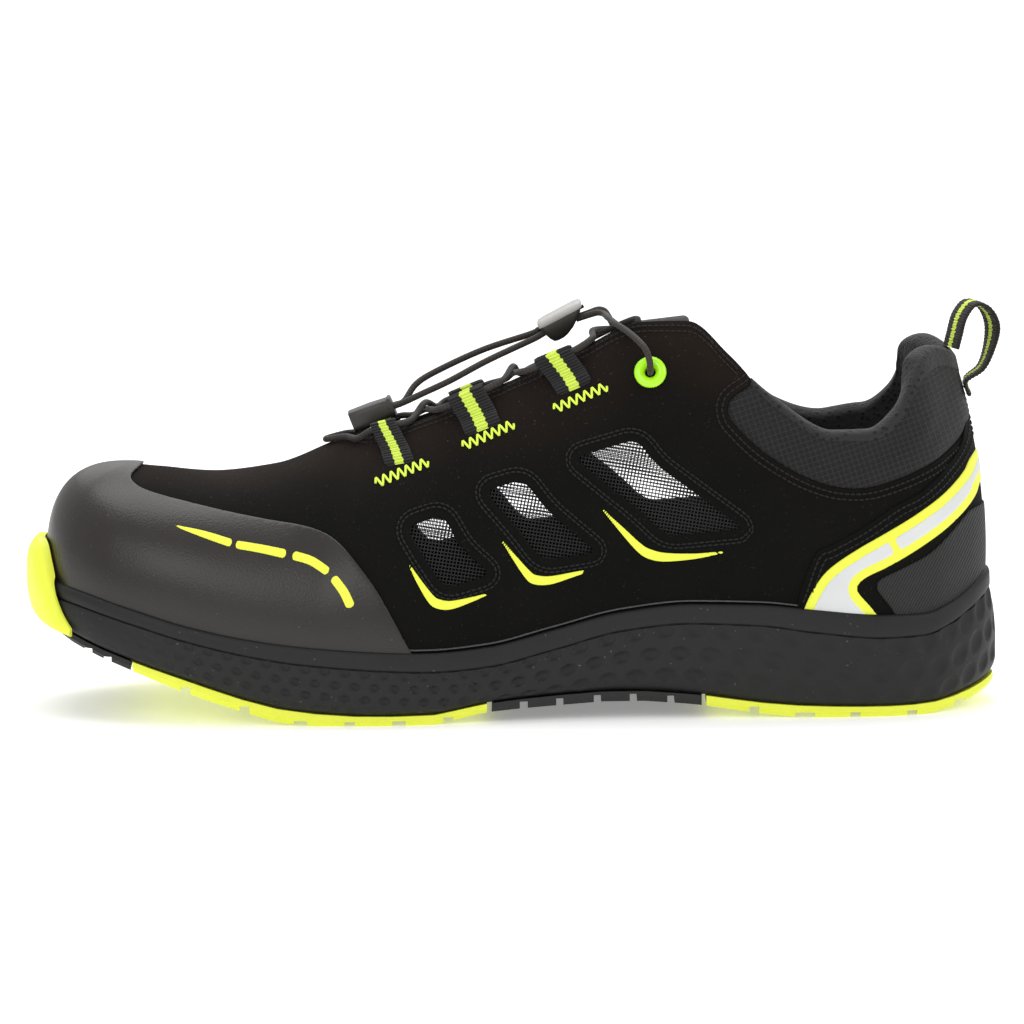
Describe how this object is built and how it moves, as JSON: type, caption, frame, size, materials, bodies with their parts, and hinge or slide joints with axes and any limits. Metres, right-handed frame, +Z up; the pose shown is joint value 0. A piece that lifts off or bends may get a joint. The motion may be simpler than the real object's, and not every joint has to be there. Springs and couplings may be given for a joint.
{
  "type": "safety sandal",
  "caption": "Low black nubuck safety sandal for the right foot, with mesh side windows, elastic lace and cord lock, reflective heel stripe, foam midsole and yellow rubber tread.",
  "frame": {"origin": "middle of the bounding box on the floor, under the sole", "axes": "+X from toe to heel, -Y towards the inner (medial) side, +Z up"},
  "size_m": [0.3, 0.1079, 0.1241],
  "materials": {
    "nubuck": "matt nap",
    "cap_film": "satin, pebbled",
    "foam": "semi-matt, moulded",
    "black_rubber": "matt",
    "yellow_rubber": "semi-matt",
    "cuff_cloth": "woven",
    "lining": "knitted mesh",
    "reflective_film": "silver between yellow edges",
    "ribbed_panel": "ribbed, satin",
    "webbing": "woven, with a lime stripe",
    "pull_webbing": "woven, with a lime stripe",
    "eyelet_plastic": "gloss",
    "elastic_cord": "braided",
    "toggle_plastic": "satin"
  },
  "bodies": {
    "root": {"upper": "nubuck", "heel_counter": "nubuck", "toe_cap": "cap_film", "midsole": "foam", "outsole_toe": "black_rubber", "outsole_waist": "black_rubber", "outsole_forefoot": "yellow_rubber", "outsole_heel": "yellow_rubber", "toe_bumper": "yellow_rubber", "collar": "cuff_cloth", "insole": "lining", "tongue": "lining", "reflective_stripe": "reflective_film", "heel_patch": "ribbed_panel", "lace_loop_medial_1": "webbing", "lace_loop_medial_2": "webbing", "lace_loop_medial_3": "webbing", "lace_loop_lateral_1": "webbing", "lace_loop_lateral_2": "webbing", "lace_loop_lateral_3": "webbing", "pull_loop": "pull_webbing", "eyelet_medial": "eyelet_plastic", "eyelet_lateral": "eyelet_plastic", "lace_crossings": "elastic_cord", "lace_tail_medial": "elastic_cord", "lace_tail_lateral": "elastic_cord", "lace_end_upper": "elastic_cord", "lace_end_lower": "elastic_cord", "cord_lock": "toggle_plastic", "cord_end": "toggle_plastic"}
  },
  "joints": []
}
